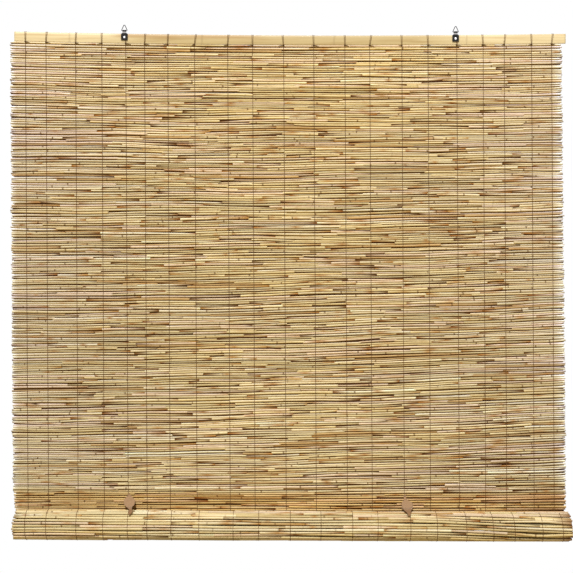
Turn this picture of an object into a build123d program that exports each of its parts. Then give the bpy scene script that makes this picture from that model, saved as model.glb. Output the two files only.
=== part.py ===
from build123d import *
import math
import os

# A roll-up reed blind. Reeds lie side by side in one stitched mat, which hangs from a split-bamboo
# slat on two wire rings. The lower part of the mat is wound forward round a cane, and two leaf-shaped
# ties keep the roll from opening.
# X runs along the reeds, Y from the front of the blind to its back, Z up. Lengths are in millimetres.
# The origin lies midway between the two points where the rings hang on their hooks.

# Mat
mat_width = 1200.0
mat_drop = 1041.0
reed_pitch = 4.9
reed_thickness = 4.8
groove_thickness = 1.6
ragged_depth = 6.0
ragged_rows = 6
gap_height = 0.9
gap_margin = 5.0
gap_count = 16
scatter_share = 0.618

# Slat, a split bamboo culm with its skin to the front
slat_height = 21.5
slat_thickness = 4.8
slat_overhang = 1.0
slat_bow = 6.0
slat_crown = 0.8
slat_hollow = 0.5
node_width = 9.0
node_rise = 0.3
node_inset = 1.2
node_shares = (-0.80, -0.32, 0.16, 0.64)
mat_seat = 0.3

# Hanger plates, each a metal strip folded double round its ring
hanger_spacing = 722.0
hanger_rise = 6.1
strip_thickness = 0.9
plate_width = 14.6
plate_height = 16.0
plate_shoulder = 2.4
plate_corner = 1.0
neck_height = 4.8
plate_seat = 0.05

# Rings, bent from round wire with the two ends butted inside the knuckle
wire_diameter = 1.6
ring_half_base = 6.5
ring_height = 14.5
ring_corner_radius = 1.0
ring_apex_radius = 1.6
ring_butt_gap = 0.3
ring_side_play = 0.7
ring_clearance = 0.08

# Screws
screw_head_diameter = 5.2
screw_head_height = 1.5
screw_top_diameter = 3.4
screw_shank_diameter = 2.6
screw_cover = 0.9
screw_fit = 0.05
screw_place_share = 0.59

# Roll and its cane, which have crept to the right on the hung mat
roll_diameter = 65.0
roll_shift = 6.0
turn_gap = 0.3
turn_facets = 11
cane_diameter = 12.0
cane_inset = 4.0
cane_seat = 0.4

# Twines
twine_width = 1.3
twine_thickness = 1.2
twine_seat = 0.1
twine_from_plate = 1.4
loop_facets = 11
loop_corners = 9
left_twine_shares = (0.12, 0.30, 0.56, 0.79)
middle_twine_shares = (0.057, 0.127, 0.208, 0.308, 0.383, 0.477, 0.568, 0.662, 0.737, 0.834, 0.913)
right_twine_shares = (0.25, 0.45, 0.71, 0.90)

# Ties, each a limp leaf of cloth from the mat over the top of the roll
tie_width = 26.0
tie_shift = 6.0
tie_thickness = 1.2
tie_sag_radius = 26.0
tie_tip = 1.0
tie_wrap_angle = 47.0
tie_facets = 4
tie_outline_shares = (
    (0.00, 0.12), (0.07, 0.30), (0.19, 0.20), (0.52, 1.00), (0.66, 0.95), (0.92, 0.30), (1.00, 0.20),
)

overrun = 2.0

# Ring shape: the top of its inside rests on the hook, at height zero
wire_radius = wire_diameter / 2
ring_side_angle = math.atan2(ring_half_base, ring_height)
ring_apex_drop = ring_apex_radius / math.sin(ring_side_angle) - ring_apex_radius
ring_apex_run = ring_apex_radius / math.tan(ring_side_angle)
axis_z = wire_radius + ring_apex_drop - ring_height
ring_corner_run = ring_corner_radius / math.tan((math.pi / 2 - ring_side_angle) / 2)
knuckle_width = 2 * (ring_half_base - ring_corner_run - ring_side_play)
bore_radius = wire_radius + ring_clearance
knuckle_radius = bore_radius + strip_thickness

# Slat place and bow
hanger_places = (-hanger_spacing / 2, hanger_spacing / 2)
slat_half_length = mat_width / 2 + slat_overhang
bow_radius = (slat_half_length ** 2 + slat_bow ** 2) / (2 * slat_bow)


def slat_rise(x):
    """Height of the bowed slat at x above its middle."""
    return bow_radius - math.sqrt(bow_radius ** 2 - x ** 2)


front_seat = node_rise + plate_seat
mat_y = strip_thickness + front_seat + slat_thickness / 2
slat_z = axis_z - hanger_rise - slat_height / 2 - slat_rise(hanger_spacing / 2)

# Screw through the plate into the slat
screw_z = axis_z - neck_height - screw_place_share * plate_height
screw_length = 2 * strip_thickness + front_seat + slat_thickness - slat_hollow - screw_cover
screw_depth = screw_length + screw_fit

# Mat rows: the slat's bow cuts across the upper ones, in the middle of a reed at its lowest point
mat_top = slat_z - slat_height / 2 - mat_seat
full_rows = math.floor(mat_drop / reed_pitch)
row_pitch = 2 * mat_drop / (2 * full_rows + 1)
bowed_rows = math.ceil((slat_bow + row_pitch / 2) / row_pitch)
rows_top = mat_top + bowed_rows * row_pitch - row_pitch / 2
row_count = full_rows + bowed_rows

# Roll: a spiral that leaves the mat at the roll's back and winds under, forward and inward
wall_half = (reed_thickness + groove_thickness) / 4
turn_pitch = reed_thickness + turn_gap
roll_start_radius = (roll_diameter - reed_thickness + turn_pitch) / 2
roll_y = mat_y - roll_start_radius
roll_z = mat_top - mat_drop
roll_end_radius = cane_diameter / 2 + cane_seat + wall_half
turn_count = (roll_start_radius - roll_end_radius) / turn_pitch
turn_reeds = round(2 * math.pi * (roll_start_radius - turn_pitch / 2) / reed_pitch)

# Twine places, with one twine just to the right of each hanger plate and the others shared out between
left_plate_twine, right_plate_twine = [
    place + (plate_width + twine_width) / 2 + twine_from_plate for place in hanger_places
]


def shared_out(start, end, shares):
    return [start + share * (end - start) for share in shares]


left_twines = shared_out(-mat_width / 2, left_plate_twine, left_twine_shares)
middle_twines = shared_out(left_plate_twine, right_plate_twine, middle_twine_shares)
right_twines = shared_out(right_plate_twine, mat_width / 2, right_twine_shares)
twine_places = left_twines + [left_plate_twine] + middle_twines + [right_plate_twine] + right_twines
twine_stand = max(slat_thickness / 2 + node_rise, reed_thickness / 2) + twine_seat
tie_places = (left_plate_twine + tie_shift, middle_twines[-2] + tie_shift)


def spiral_point(turn, offset):
    """Point of the roll's section after so many turns, offset outward from the middle of the wall."""
    radius = roll_start_radius - turn_pitch * turn + offset
    angle = 2 * math.pi * turn
    return (roll_y + radius * math.cos(angle), roll_z - radius * math.sin(angle))


def side_section(points):
    """Face of a closed outline given as (Y, Z) points."""
    return Plane.YZ * make_face(Polyline(points, close=True))


def front_outline(points):
    """Face of a closed outline given as (X, Z) points."""
    return Plane.XZ * make_face(Polyline(points, close=True))


def rod(radius, length):
    """Round rod along X about the origin."""
    return Rot(0, 90, 0) * Cylinder(radius, length)


def pin(radius, length):
    """Round pin that runs back along Y from the origin."""
    return Rot(-90, 0, 0) * Cylinder(radius, length, align=(Align.CENTER, Align.CENTER, Align.MIN))


# Slat
def slat_section():
    half = slat_height / 2
    front = -slat_thickness / 2
    back = slat_thickness / 2
    skin = ThreePointArc((front + slat_crown, -half), (front, 0), (front + slat_crown, half))
    top = Line((front + slat_crown, half), (back, half))
    pith = ThreePointArc((back, half), (back - slat_hollow, 0), (back, -half))
    bottom = Line((back, -half), (front + slat_crown, -half))
    return make_face([skin, top, pith, bottom])


def node_section(x, rise):
    """Section of the ridge at a bamboo node, standing so far above the slat's skin."""
    half = slat_height / 2 - node_inset
    skin_radius = ((slat_height / 2) ** 2 + slat_crown ** 2) / (2 * slat_crown)
    edge_drop = skin_radius - math.sqrt(skin_radius ** 2 - half ** 2)
    front = -slat_thickness / 2 - rise
    skin = ThreePointArc((front + edge_drop, -half), (front, 0), (front + edge_drop, half))
    core = Polyline((front + edge_drop, half), (0, half), (0, -half), (front + edge_drop, -half))
    middle = (x, mat_y, slat_z + slat_rise(x))
    return Plane(origin=middle, x_dir=(0, 1, 0), z_dir=(1, 0, 0)) * make_face([skin, core])


def bamboo_node(x):
    start = node_section(x - node_width / 2, -node_rise)
    crest = node_section(x, node_rise)
    end = node_section(x + node_width / 2, -node_rise)
    return loft([start, crest, end], ruled=True)


def header_slat():
    left_end = (-slat_half_length, mat_y, slat_z + slat_bow)
    right_end = (slat_half_length, mat_y, slat_z + slat_bow)
    middle_line = ThreePointArc(left_end, (0, mat_y, slat_z), right_end)
    start = Plane(origin=middle_line @ 0, x_dir=(0, 1, 0), z_dir=middle_line % 0)
    slat = sweep(start * slat_section(), path=middle_line)
    for share in node_shares:
        slat += bamboo_node(share * slat_half_length)
    for x in hanger_places:
        slat -= Pos(x, -strip_thickness, screw_z) * pin(screw_shank_diameter / 2 + screw_fit, screw_depth)
    return slat


# Hangers
def hanger_plate(x):
    neck_half = knuckle_width / 2
    body_half = plate_width / 2
    bottom = -neck_height - plate_height
    right_side = [
        (neck_half, 0),
        (neck_half, -neck_height),
        (body_half, -neck_height - plate_shoulder),
        (body_half, bottom + plate_corner),
        (body_half - plate_corner, bottom),
    ]
    left_side = [(-across, height) for across, height in reversed(right_side)]
    leaves = extrude(front_outline(right_side + left_side), amount=strip_thickness, both=True)
    plate = leaves + rod(knuckle_radius, knuckle_width) - rod(bore_radius, knuckle_width + overrun)
    hole = pin(screw_shank_diameter / 2 + screw_fit, 2 * strip_thickness + overrun)
    return Pos(x, 0, axis_z) * plate - Pos(x, -strip_thickness - overrun / 2, screw_z) * hole


def hanger_ring(x):
    """Triangle of wire whose bends are folded in short flats between their tangent points."""
    lean = math.sin(ring_side_angle)
    climb = math.cos(ring_side_angle)
    right_bends = [
        (ring_butt_gap / 2, 0),
        (ring_half_base - ring_corner_run, 0),
        (ring_half_base - ring_corner_run * lean, ring_corner_run * climb),
        (ring_apex_run * lean, ring_height - ring_apex_run * climb),
    ]
    left_bends = [(-across, height) for across, height in reversed(right_bends)]
    wire_line = Plane.XZ * Polyline(right_bends + [(0, ring_height - ring_apex_drop)] + left_bends)
    start = Plane(origin=wire_line @ 0, z_dir=wire_line % 0)
    wire = sweep(start * Circle(wire_radius), path=wire_line, transition=Transition.RIGHT)
    return Pos(x, 0, axis_z) * wire


def hanger_screw(x):
    shank = screw_shank_diameter / 2
    head = screw_head_diameter / 2
    half_section = Polyline(
        (0, -screw_head_height), (screw_top_diameter / 2, -screw_head_height), (head, 0), (shank, 0),
        (shank, screw_length), (0, screw_length), close=True,
    )
    screw = revolve(make_face(half_section), axis=Axis.Y)
    return Pos(x, -strip_thickness, screw_z) * screw


# Mat
def ragged_end(side):
    """Everything past the reed ends on one side, with the reeds ending in steps."""
    outer = side * (mat_width / 2 + overrun)
    points = [(outer, rows_top + overrun)]
    group_count = math.ceil(row_count / ragged_rows)
    for group in range(group_count):
        depth = ragged_depth * ((group + 1) * side * scatter_share % 1)
        top = rows_top - group * ragged_rows * row_pitch
        bottom = max(top - ragged_rows * row_pitch, roll_z)
        if group == 0:
            top += overrun
        if group == group_count - 1:
            bottom -= overrun
        end = side * (mat_width / 2 - depth)
        points += [(end, top), (end, bottom)]
    points.append((outer, roll_z - overrun))
    return Pos(0, mat_y, 0) * extrude(front_outline(points), amount=reed_thickness, both=True)


def above_rows():
    """Everything above the mat's upper edge, which follows the bow of the slat."""
    half = slat_half_length + overrun
    upper = rows_top + overrun
    edge = ThreePointArc((-half, mat_top + slat_rise(half)), (0, mat_top), (half, mat_top + slat_rise(half)))
    cover = Polyline(edge @ 1, (half, upper), (-half, upper), edge @ 0)
    return Pos(0, mat_y, 0) * extrude(Plane.XZ * make_face([edge, cover]), amount=reed_thickness, both=True)


def slits():
    """Slits of light where neighbouring reeds stand apart between two twines."""
    boxes = []
    bay_count = len(twine_places) - 1
    for slit in range(gap_count):
        bay = slit % bay_count
        row = bowed_rows + 1 + int((slit + 1) * scatter_share % 1 * (full_rows - 2))
        left = twine_places[bay] + gap_margin
        right = twine_places[bay + 1] - gap_margin
        middle = ((left + right) / 2, mat_y, rows_top - row * row_pitch)
        boxes.append(Pos(middle) * Box(right - left, 2 * reed_thickness, gap_height))
    return boxes


def reed_mat():
    front = []
    back = []
    for row in range(row_count + 1):
        groove = rows_top - row * row_pitch
        front.append((mat_y - groove_thickness / 2, groove))
        back.append((mat_y + groove_thickness / 2, groove))
        if row < row_count:
            front.append((mat_y - reed_thickness / 2, groove - row_pitch / 2))
            back.append((mat_y + reed_thickness / 2, groove - row_pitch / 2))
    wall = extrude(side_section(front + back[::-1]), amount=mat_width / 2, both=True)
    return wall - [ragged_end(-1), ragged_end(1), above_rows()] - slits()


# Roll
def reed_roll():
    outer = []
    for reed in range(turn_reeds):
        outer.append(spiral_point(reed / turn_reeds, groove_thickness / 2))
        outer.append(spiral_point((2 * reed + 1) / (2 * turn_reeds), reed_thickness / 2))
    inner_steps = math.ceil((turn_count - 1) * turn_facets)
    for step in range(inner_steps + 1):
        outer.append(spiral_point(1 + (turn_count - 1) * step / inner_steps, wall_half))
    inside_steps = math.ceil(turn_count * turn_facets)
    inside = [spiral_point(turn_count * step / inside_steps, -wall_half) for step in range(inside_steps + 1)]
    spiral = extrude(side_section(outer + inside[::-1]), amount=mat_width / 2, both=True)
    return Pos(roll_shift, 0, 0) * spiral


def core_cane():
    return Pos(roll_shift, roll_y, roll_z) * rod(cane_diameter / 2, mat_width - 2 * cane_inset)


# Twines
def twine_side(x, lift):
    """One side of a twine, from the nip of the roll up over the slat and down round the roll."""
    stand = twine_stand + lift
    top = slat_z + slat_height / 2 + slat_rise(x) + twine_seat + lift
    nip_reach = roll_start_radius - twine_stand - twine_thickness - twine_seat
    nip_z = roll_z + math.sqrt((roll_start_radius + reed_thickness / 2) ** 2 - nip_reach ** 2)
    points = [(mat_y - stand, nip_z), (mat_y - stand, top), (mat_y + stand, top)]
    for corner in range(loop_corners):
        turn = (2 * corner + 1) / (2 * loop_facets)
        radius = roll_start_radius - turn_pitch * turn + stand
        corner_lift = radius / math.cos(math.pi / loop_facets) - radius
        points.append(spiral_point(turn, stand + corner_lift))
    return points


def twine(x):
    outline = twine_side(x, twine_thickness) + twine_side(x, 0)[::-1]
    return Pos(x, 0, 0) * extrude(side_section(outline), amount=twine_width / 2, both=True)


# Ties
def roll_tie(x):
    seat = twine_stand + twine_thickness + twine_seat
    seat_radius = (roll_start_radius - turn_pitch / 2 + seat) / math.cos(math.pi / loop_facets)
    back_y = mat_y - seat
    sag_y = back_y - tie_sag_radius
    sag_z = roll_z + math.sqrt((seat_radius + tie_sag_radius) ** 2 - (sag_y - roll_y) ** 2)
    meet_angle = math.atan2(sag_z - roll_z, sag_y - roll_y)
    front_angle = math.pi / 2 + math.radians(tie_wrap_angle)
    sag_step = (math.pi - meet_angle) / tie_facets
    wrap_step = (front_angle - meet_angle) / tie_facets

    def face_side(lift):
        points = [(back_y - lift, sag_z + tie_tip)]
        for step in range(tie_facets + 1):
            angle = -step * sag_step
            radius = tie_sag_radius - lift
            points.append((sag_y + radius * math.cos(angle), sag_z + radius * math.sin(angle)))
        for step in range(1, tie_facets + 1):
            angle = meet_angle + step * wrap_step
            radius = (seat_radius + lift) / math.cos(wrap_step / 2)
            points.append((roll_y + radius * math.cos(angle), roll_z + radius * math.sin(angle)))
        return points

    strip = extrude(side_section(face_side(tie_thickness) + face_side(0)[::-1]), amount=tie_width, both=True)
    foot_z = roll_z + seat_radius * math.sin(front_angle)
    leaf_height = sag_z + tie_tip - foot_z
    right_side = []
    for height_share, width_share in tie_outline_shares:
        right_side.append((width_share * tie_width / 2, foot_z + height_share * leaf_height))
    left_side = [(-across, height) for across, height in reversed(right_side)]
    leaf = extrude(front_outline(right_side + left_side), amount=2 * roll_diameter, both=True)
    return Pos(x, 0, 0) * (strip & leaf)


pieces = {
    "header_slat": header_slat(),
    "reed_mat": reed_mat(),
    "reed_roll": reed_roll(),
    "core_cane": core_cane(),
}
for side, x in zip(("left", "right"), hanger_places):
    pieces["hanger_plate_" + side] = hanger_plate(x)
    pieces["hanger_ring_" + side] = hanger_ring(x)
    pieces["hanger_screw_" + side] = hanger_screw(x)
for side, x in zip(("left", "right"), tie_places):
    pieces["roll_tie_" + side] = roll_tie(x)
for number, x in enumerate(twine_places, start=1):
    pieces[f"twine_{number:02d}"] = twine(x)

os.makedirs("parts", exist_ok=True)
for name, piece in pieces.items():
    export_step(piece, f"parts/{name}.step")
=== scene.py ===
"""Looks of a roll-up blind: a mat of stitched reeds under a split bamboo slat, its lower end rolled up."""

import math

import bmesh
import bpy
import numpy as np
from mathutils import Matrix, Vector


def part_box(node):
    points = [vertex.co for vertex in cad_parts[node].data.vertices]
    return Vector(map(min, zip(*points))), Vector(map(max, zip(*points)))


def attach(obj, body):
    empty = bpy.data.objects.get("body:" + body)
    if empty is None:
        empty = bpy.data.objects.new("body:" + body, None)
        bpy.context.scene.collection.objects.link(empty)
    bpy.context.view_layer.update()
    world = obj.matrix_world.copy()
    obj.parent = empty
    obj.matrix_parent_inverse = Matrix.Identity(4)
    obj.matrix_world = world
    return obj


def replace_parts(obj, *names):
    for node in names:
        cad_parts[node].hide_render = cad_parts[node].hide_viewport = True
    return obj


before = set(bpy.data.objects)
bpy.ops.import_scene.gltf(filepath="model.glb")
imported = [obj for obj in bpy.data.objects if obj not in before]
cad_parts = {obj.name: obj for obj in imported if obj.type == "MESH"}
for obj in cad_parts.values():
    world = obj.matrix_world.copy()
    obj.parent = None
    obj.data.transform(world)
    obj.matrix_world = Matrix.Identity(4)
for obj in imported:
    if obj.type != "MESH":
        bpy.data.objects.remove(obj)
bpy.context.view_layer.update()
draw = np.random.default_rng(11)

# Slat, in metres; a span is the start and the length of a smooth step
slat_height = 0.0215
slat_crown = 0.0008
slat_hollow = 0.0005
slat_edge = 0.0006
slat_steps = 260
front_points = 13
back_points = 9
node_places = (-0.481, -0.192, 0.096, 0.385)
node_width = 0.009
node_rise = 0.0003
node_line = 0.0016
node_swell_share = 0.25
node_ring_shares = (-0.5, -0.2, -0.1, 0, 0.1, 0.2, 0.5)
slat_middle_span = (0.25, 0.2)
strip_left_span = (-0.40, 0.04)
strip_right_span = (-0.03, -0.08)
strip_height_shares = (0.1, 0.25)

# Mat, in metres
reed_pitch = 0.0049
mat_overhang = 0.0006
mat_shift = -0.0035
mat_drift = 0.0104
mat_spread = 0.004
ragged_reach = 0.0008
row_spread_share = 0.13
row_height_shares = (0.72, 1.3)
first_row_drop = -0.0004
bow_fade_depth = 0.42
foot_inset = 0.004
foot_depth = 0.045
lean_depth = 0.07
lean_back = 0.005
skew_rise = 0.0157
skew_curl = 0.0052
skew_depth_share = 0.65
skew_fade = 0.14
calm_top = 0.1
calm_foot = 0.03
calm_fade = 0.08
# Height above the roll of the painted warm shade on the mat's front
warm_shade_depth = 0.038
warm_fade = 0.012
corner_depth = 0.056
corner_span = (0.47, 0.1)
left_rim = 0.013
right_rim = 0.024
left_rim_strength = 0.8
rim_shares = np.array((0.3, 0.6, 1.0))
filler_sides = 6
filler_steps = 40
filler_radius = 0.0034
filler_flat_share = 0.16
filler_back = 0.0006
filler_inset = 0.004
filler_inset_share = 0.25
filler_shade_shares = (0.8, 1.3)
scatter_share = 0.618

# Slow waves of the rows: lengths across and down and height in metres, and phase
waves = (
    (0.43, 0.29, 0.0006, 0.4),
    (0.31, -0.21, 0.0005, 2.1),
    (0.74, 0.37, 0.0007, 4.4),
    (0.19, 0.13, 0.0003, 1.3),
    (0.083, 0.047, 0.0002, 5.2),
)

# Single reeds, in metres; pairs are the least and the most of a draw
shortest_reed = 0.06
longest_reed = 0.30
reed_sides = 8
reed_overlaps = (0.001, 0.005)
reed_lifts = (-0.0005, 0.0004)
slant_spread = 0.0010
drop_spread = 0.0004
full_taper_length = 0.16
tip_reach = 0.0018
hollow_depth = 0.004
mouth_share = 0.62
bore_share = 0.5
brown_lengths = (0.012, 0.06)
patch_reaches = (0.008, 0.03)
node_half_width = 0.0005
node_ring_places = np.array((-0.003, 0, 0.002))
plain_ring_shares = (0, 0.02, 0.2, 0.4, 1)
tip_ring_shares = np.array((1.0, 0.6, 0.3, 0.08))
patch_ring_shares = np.array((-1.0, -0.5, 0, 0.5, 1.0))
longest_brown_share = 0.6
taper_shares = (0.25, 0.52)
taper_power = 1.4
butt_shares = (0.89, 1.06)
tone_shares = (0.80, 1.08)
brown_strength_shares = (0.3, 0.6, 0.85, 1.0)
node_place_shares = (0.15, 0.8)
node_strength_shares = (0.3, 0.5, 1.0)
node_swelling = 1.1
patch_place_shares = (0.1, 0.9)
patch_strength_shares = (0.0, 0.25, 0.55, 0.8)
patch_chance_shares = (0.3, 0.2, 0.3, 0.2)
edge_length_share = 0.4
edge_strength_share = 0.7
edge_tip_share = 0.74
tip_end_share = 0.9999
tip_end_tone = 0.6
# Painted highlight: the butt end of each reed is made lighter
butt_highlight_share = 0.021
butt_highlight_tone = 1.08
palest = 0.95
tip_right_chances = (0.25, 0.85)

# Roll, in metres and in turns
roll_pitch = 0.0062
turn_pitch = 0.0051
turn_count = 4.83
roll_shift = 0.0085
roll_left_inset = 0.002
roll_top_inset = 0.006
roll_rounding = 0.004
roll_twist = 0.34
roll_lifts = (-0.0009, 0.0005)
roll_reed_shares = (0.80, 1.02)
roll_end_reach = 0.05
roll_end_strength = 0.8
stub_length = 0.06
stub_shares = np.array((0, 0.5, 1))
whole_turns = 2.1
top_turns = (0.5, 0.2)
settle_turns = 0.3
parting_turns = 0.05
inner_turn_reach = 0.03
wander_shares = (0.3, 1.0)
brown_end_wander = 0.5
sway_length = 0.37
sway_share = 0.3
fan_sway_share = 0.6
fan_span = (0.30, 0.31)

# Partings between reeds of the roll: place along X, turn, width along X and spread in radians
partings = (
    (0.540, 0.475, 0.036, 0.12),
    (0.43, 0.42, 0.07, 0.09),
    (0.545, 0.60, 0.03, 0.09),
    (-0.52, 0.385, 0.06, 0.09),
    (-0.31, 0.46, 0.09, 0.05),
    (0.12, 0.40, 0.10, 0.06),
    (-0.12, 0.52, 0.08, 0.05),
    (0.27, 0.55, 0.06, 0.05),
)

# Twines, in metres and in turns of the roll
twine_count = 21
twine_shift = -0.0014
strand_radius = 0.00055
strand_sides = 4
strand_sink_share = 0.6
ply_pitch = 0.004
ply_rings = 6
ply_offset_share = 0.5
ply_radius_share = 0.62
mat_groove = 0.0011
roll_groove = 0.0013
crest_share = 0.45
roll_strand_shift = 0.0035
roll_strand_spread = 0.005
spread_span = (-0.45, 0.4)
roll_strand_slant = 0.018
slant_span = (0.2, 0.3)
first_strand_turn = 0.01
last_strand_turn = 0.79
entry_turns = 0.25
front_end_share = 0.72
back_end = 0.003
loop_lean_spread = 0.0012
loop_lean_share = 0.6
loop_aside = 0.0008
loop_edge = 0.0006
loop_flat = 0.004
loop_corner = 0.0008
knot_reach = 0.0024
knot_radius = 0.0009
knot_coils = 3
knot_steps = 22
knot_share = 1.2
knot_sink = 0.0004
knot_drop = 0.0007
knot_end_front = 0.0022
knot_end_drop = 0.0006
tail_right_chance = 0.55
tail_lengths = (0.005, 0.011)
tail_droops = (0.0, 0.002)
tail_steps = 6
tail_share = 1.3
tail_taper_share = 0.4
tail_start = 0.001
tail_front = 0.0002
tail_lean = 0.0008
tail_drop = 0.0012

# Hangers, in metres
wire_radius = 0.0008
metal_sides = 12
wire_gap = 0.0002
ring_half_base = 0.0065
ring_height = 0.0145
ring_corner_radius = 0.0010
ring_apex_radius = 0.0016
corner_steps = 8
apex_steps = 12
neck_height = 0.0048
neck_top = 0.0018
neck_low_fade = 0.0012
neck_high_fade = 0.0006
plate_shoulder = 0.0024
plate_weld = 0.000001
plate_ease = 0.00018
head_radius = 0.0026
head_height = 0.0015
head_sides = 64
head_rings = 24
dome_share = 0.96
recess_reach = 0.0013
recess_half = 0.0003
recess_depth = 0.0006
shank_radius = 0.0013

# Ties, in metres
tie_half_width = 0.013
tie_thickness = 0.0012
tie_seat = 0.0041
tie_sag_radius = 0.026
tie_wrap_angle = 47.0
tie_columns = 13
tie_drop_steps = 6
tie_bend_steps = 24
loop_facets = 11
crease_height = 0.0005
curl_height = 0.0010
tie_tip_shares = (0.55, 0.3)

# Outline of each tie: share of its length, then its left and right edge as shares of the half width
tie_edge_shares = {
    "left": (
        (0.00, -0.15, 0.05), (0.075, -0.38, 0.35), (0.13, -0.63, 0.66), (0.19, -0.80, 0.95),
        (0.26, -0.86, 1.00), (0.33, -0.88, 1.00), (0.40, -0.64, 0.92), (0.47, -0.44, 0.72),
        (0.58, -0.22, 0.66), (0.73, 0.12, 0.74), (0.80, 0.30, 0.80), (0.87, 0.28, 0.92),
        (0.93, 0.26, 0.84), (1.00, 0.38, 0.56),
    ),
    "right": (
        (0.00, -0.34, -0.04), (0.10, -0.34, 0.04), (0.17, -0.34, 0.32), (0.235, -0.65, 0.94),
        (0.30, -0.76, 1.12), (0.40, -0.76, 1.07), (0.53, -0.72, 1.00), (0.70, -0.62, 0.80),
        (0.80, -0.46, 0.60), (0.87, -0.14, 0.52), (0.94, 0.04, 0.48), (1.00, 0.00, 0.42),
    ),
}

# Bump, in metres
fine_bump = 0.0002
cloth_bump = 0.0003
steel_bump = 0.0001

# Stage, in metres and degrees
floor_z = -1.45
floor_y = -0.5
floor_width = 4.0
floor_depth = 3.3
view_width = 1.2503
camera_distance = 3.1
camera_x = -0.0053
camera_z = -0.5675
camera_roll = -0.24

# Places read from the frame, in metres
slat_low, slat_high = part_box("header_slat")
mat_low, mat_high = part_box("reed_mat")
cane_low, cane_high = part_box("core_cane")
slat_depth = slat_high.y - slat_low.y
slat_bow = slat_high.z - slat_low.z - slat_height
mat_y = (mat_low.y + mat_high.y) / 2
mat_half = mat_high.x + mat_overhang
mat_top = slat_low.z
roll_y = (cane_low.y + cane_high.y) / 2
roll_z = (cane_low.z + cane_high.z) / 2
roll_radius = mat_y - roll_y
mat_drop = mat_top - roll_z
across_x = np.array((1.0, 0.0, 0.0))
across_y = np.array((0.0, 1.0, 0.0))


def screen(red, green, blue):
    """Linear colour of a screen colour given from 0 to 255."""
    shares = np.array((red, green, blue)) / 255
    return np.where(shares <= 0.04045, shares / 12.92, ((shares + 0.055) / 1.055) ** 2.4)


# Colours
straw_tones = [
    screen(242, 222, 185), screen(236, 215, 168), screen(240, 215, 188), screen(231, 213, 173),
    screen(226, 202, 152), screen(247, 232, 204), screen(206, 172, 122),
]
straw_shares = (0.25, 0.22, 0.18, 0.13, 0.12, 0.06, 0.04)
brown_tones = [screen(184, 125, 58), screen(160, 103, 43), screen(198, 149, 82), screen(122, 80, 32)]
patch_tones = [screen(200, 149, 87), screen(184, 128, 64), screen(210, 167, 114)]
edge_tone = screen(104, 66, 30)
roll_end_tone = screen(138, 92, 50)
pith_tone = screen(186, 150, 100)
# Painted shade at the foot of a reed's hollow bore
bore_shade_tone = screen(74, 50, 28)
node_tone = screen(120, 86, 46)
# Painted shade: the dark colour of the ribbons behind the grooves
filler_shade_tone = screen(68, 37, 4)
slat_tone = screen(239, 220, 174)
slat_middle_tone = screen(209, 187, 136)
slat_strip_tone = screen(194, 161, 108)
strand_tone = screen(122, 86, 46)
loop_tone = screen(140, 108, 62)
knot_tone = screen(98, 70, 36)
tie_tone = screen(169, 136, 103)
tie_tip_tone = screen(148, 113, 79)
white = (1.0, 1.0, 1.0)

# Factors on colours
# Painted light round each reed: painted highlight on its upper sides and painted shade on its undersides, for
# the mat and then for the roll
underside_shade_tone = (0.62, 0.46, 0.13)
upper_highlight_tone = (1.18, 1.21, 1.42)
roll_upper_highlight_tone = (1.08, 1.10, 1.20)
roll_underside_shade_tone = (0.84, 0.75, 0.52)
# Painted shade on the roll's hidden second turn
inner_turn_shade_tone = 0.35
# Painted shade that dims all the rolled reeds
roll_shade_tone = (0.90, 0.91, 0.82)
# Painted warm shade on the front of the reeds just above the roll
warm_shade_tone = (0.91, 0.76, 0.53)
rim_tone = (1.36, 1.56, 2.05)
corner_tone = (0.86, 0.76, 0.62)
mat_level = 0.855
top_gain = 0.24
left_loss = 0.09
red_edge_loss = 0.07
green_level = 1.005
green_edge_loss = 0.04
blue_level = 0.87
blue_edge_gain = 0.19
blue_foot_loss = 0.6
strip_strength = 0.8
node_line_strength = 0.25


def ease(value, start=0, length=1):
    """Smooth step from 0 at the start to 1 a length on, or back if it is negative."""
    share = np.clip((value - start) / length, 0, 1)
    return share * share * (3 - 2 * share)


def toned(amounts, tone):
    """Factors that go from one to a tone with amounts."""
    return 1 + (np.asarray(tone) - 1) * np.asarray(amounts)[..., None]


# Forms
def placed(name, data):
    """A new object in the scene."""
    made = bpy.data.objects.new(name, data)
    bpy.context.scene.collection.objects.link(made)
    return made


class Gather:
    """Points, faces and tints of many small forms that make up one piece."""

    def __init__(self):
        self.points = []
        self.tints = []
        self.faces = []
        self.count = 0

    def add(self, points, tints, faces):
        self.points.append(np.asarray(points))
        self.tints.append(np.asarray(tints))
        self.faces += [[index + self.count for index in face] for face in faces]
        self.count += len(points)

    def piece(self, name, material, body, slot):
        mesh = bpy.data.meshes.new(name)
        mesh.from_pydata(np.vstack(self.points).tolist(), [], self.faces)
        tints = np.vstack(self.tints)
        colours = np.hstack([tints, np.ones((len(tints), 1))])
        attribute = mesh.attributes.new("tint", "FLOAT_COLOR", "POINT")
        attribute.data.foreach_set("color", colours.astype(np.float32).ravel())
        mesh.polygons.foreach_set("use_smooth", [len(face) == 4 for face in self.faces])
        mesh.materials.append(material)
        mesh.update()
        made = placed(name, mesh)
        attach(made, body)
        return made


def ring_faces(ring_count, sides):
    """Quads that join rings of points in order, and the two end caps."""
    faces = []
    last = (ring_count - 1) * sides
    for here in range(0, last, sides):
        for side in range(sides):
            after = (side + 1) % sides
            faces.append([here + side, here + after, here + sides + after, here + sides + side])
    return faces + [list(range(sides))[::-1], list(range(last, last + sides))]


def unit(vectors):
    return vectors / np.linalg.norm(vectors, axis=-1, keepdims=True)


def points_of(x, y, z):
    """Points from coordinates, each an array or one number for all."""
    return np.stack(np.broadcast_arrays(x, y, z), axis=1)


def path_frame(path, across):
    """Unit directions along a path, level across it and upright."""
    along = unit(np.gradient(path, axis=0))
    level = unit(across - (along @ across)[:, None] * along)
    return along, level, np.cross(along, level)


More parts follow.
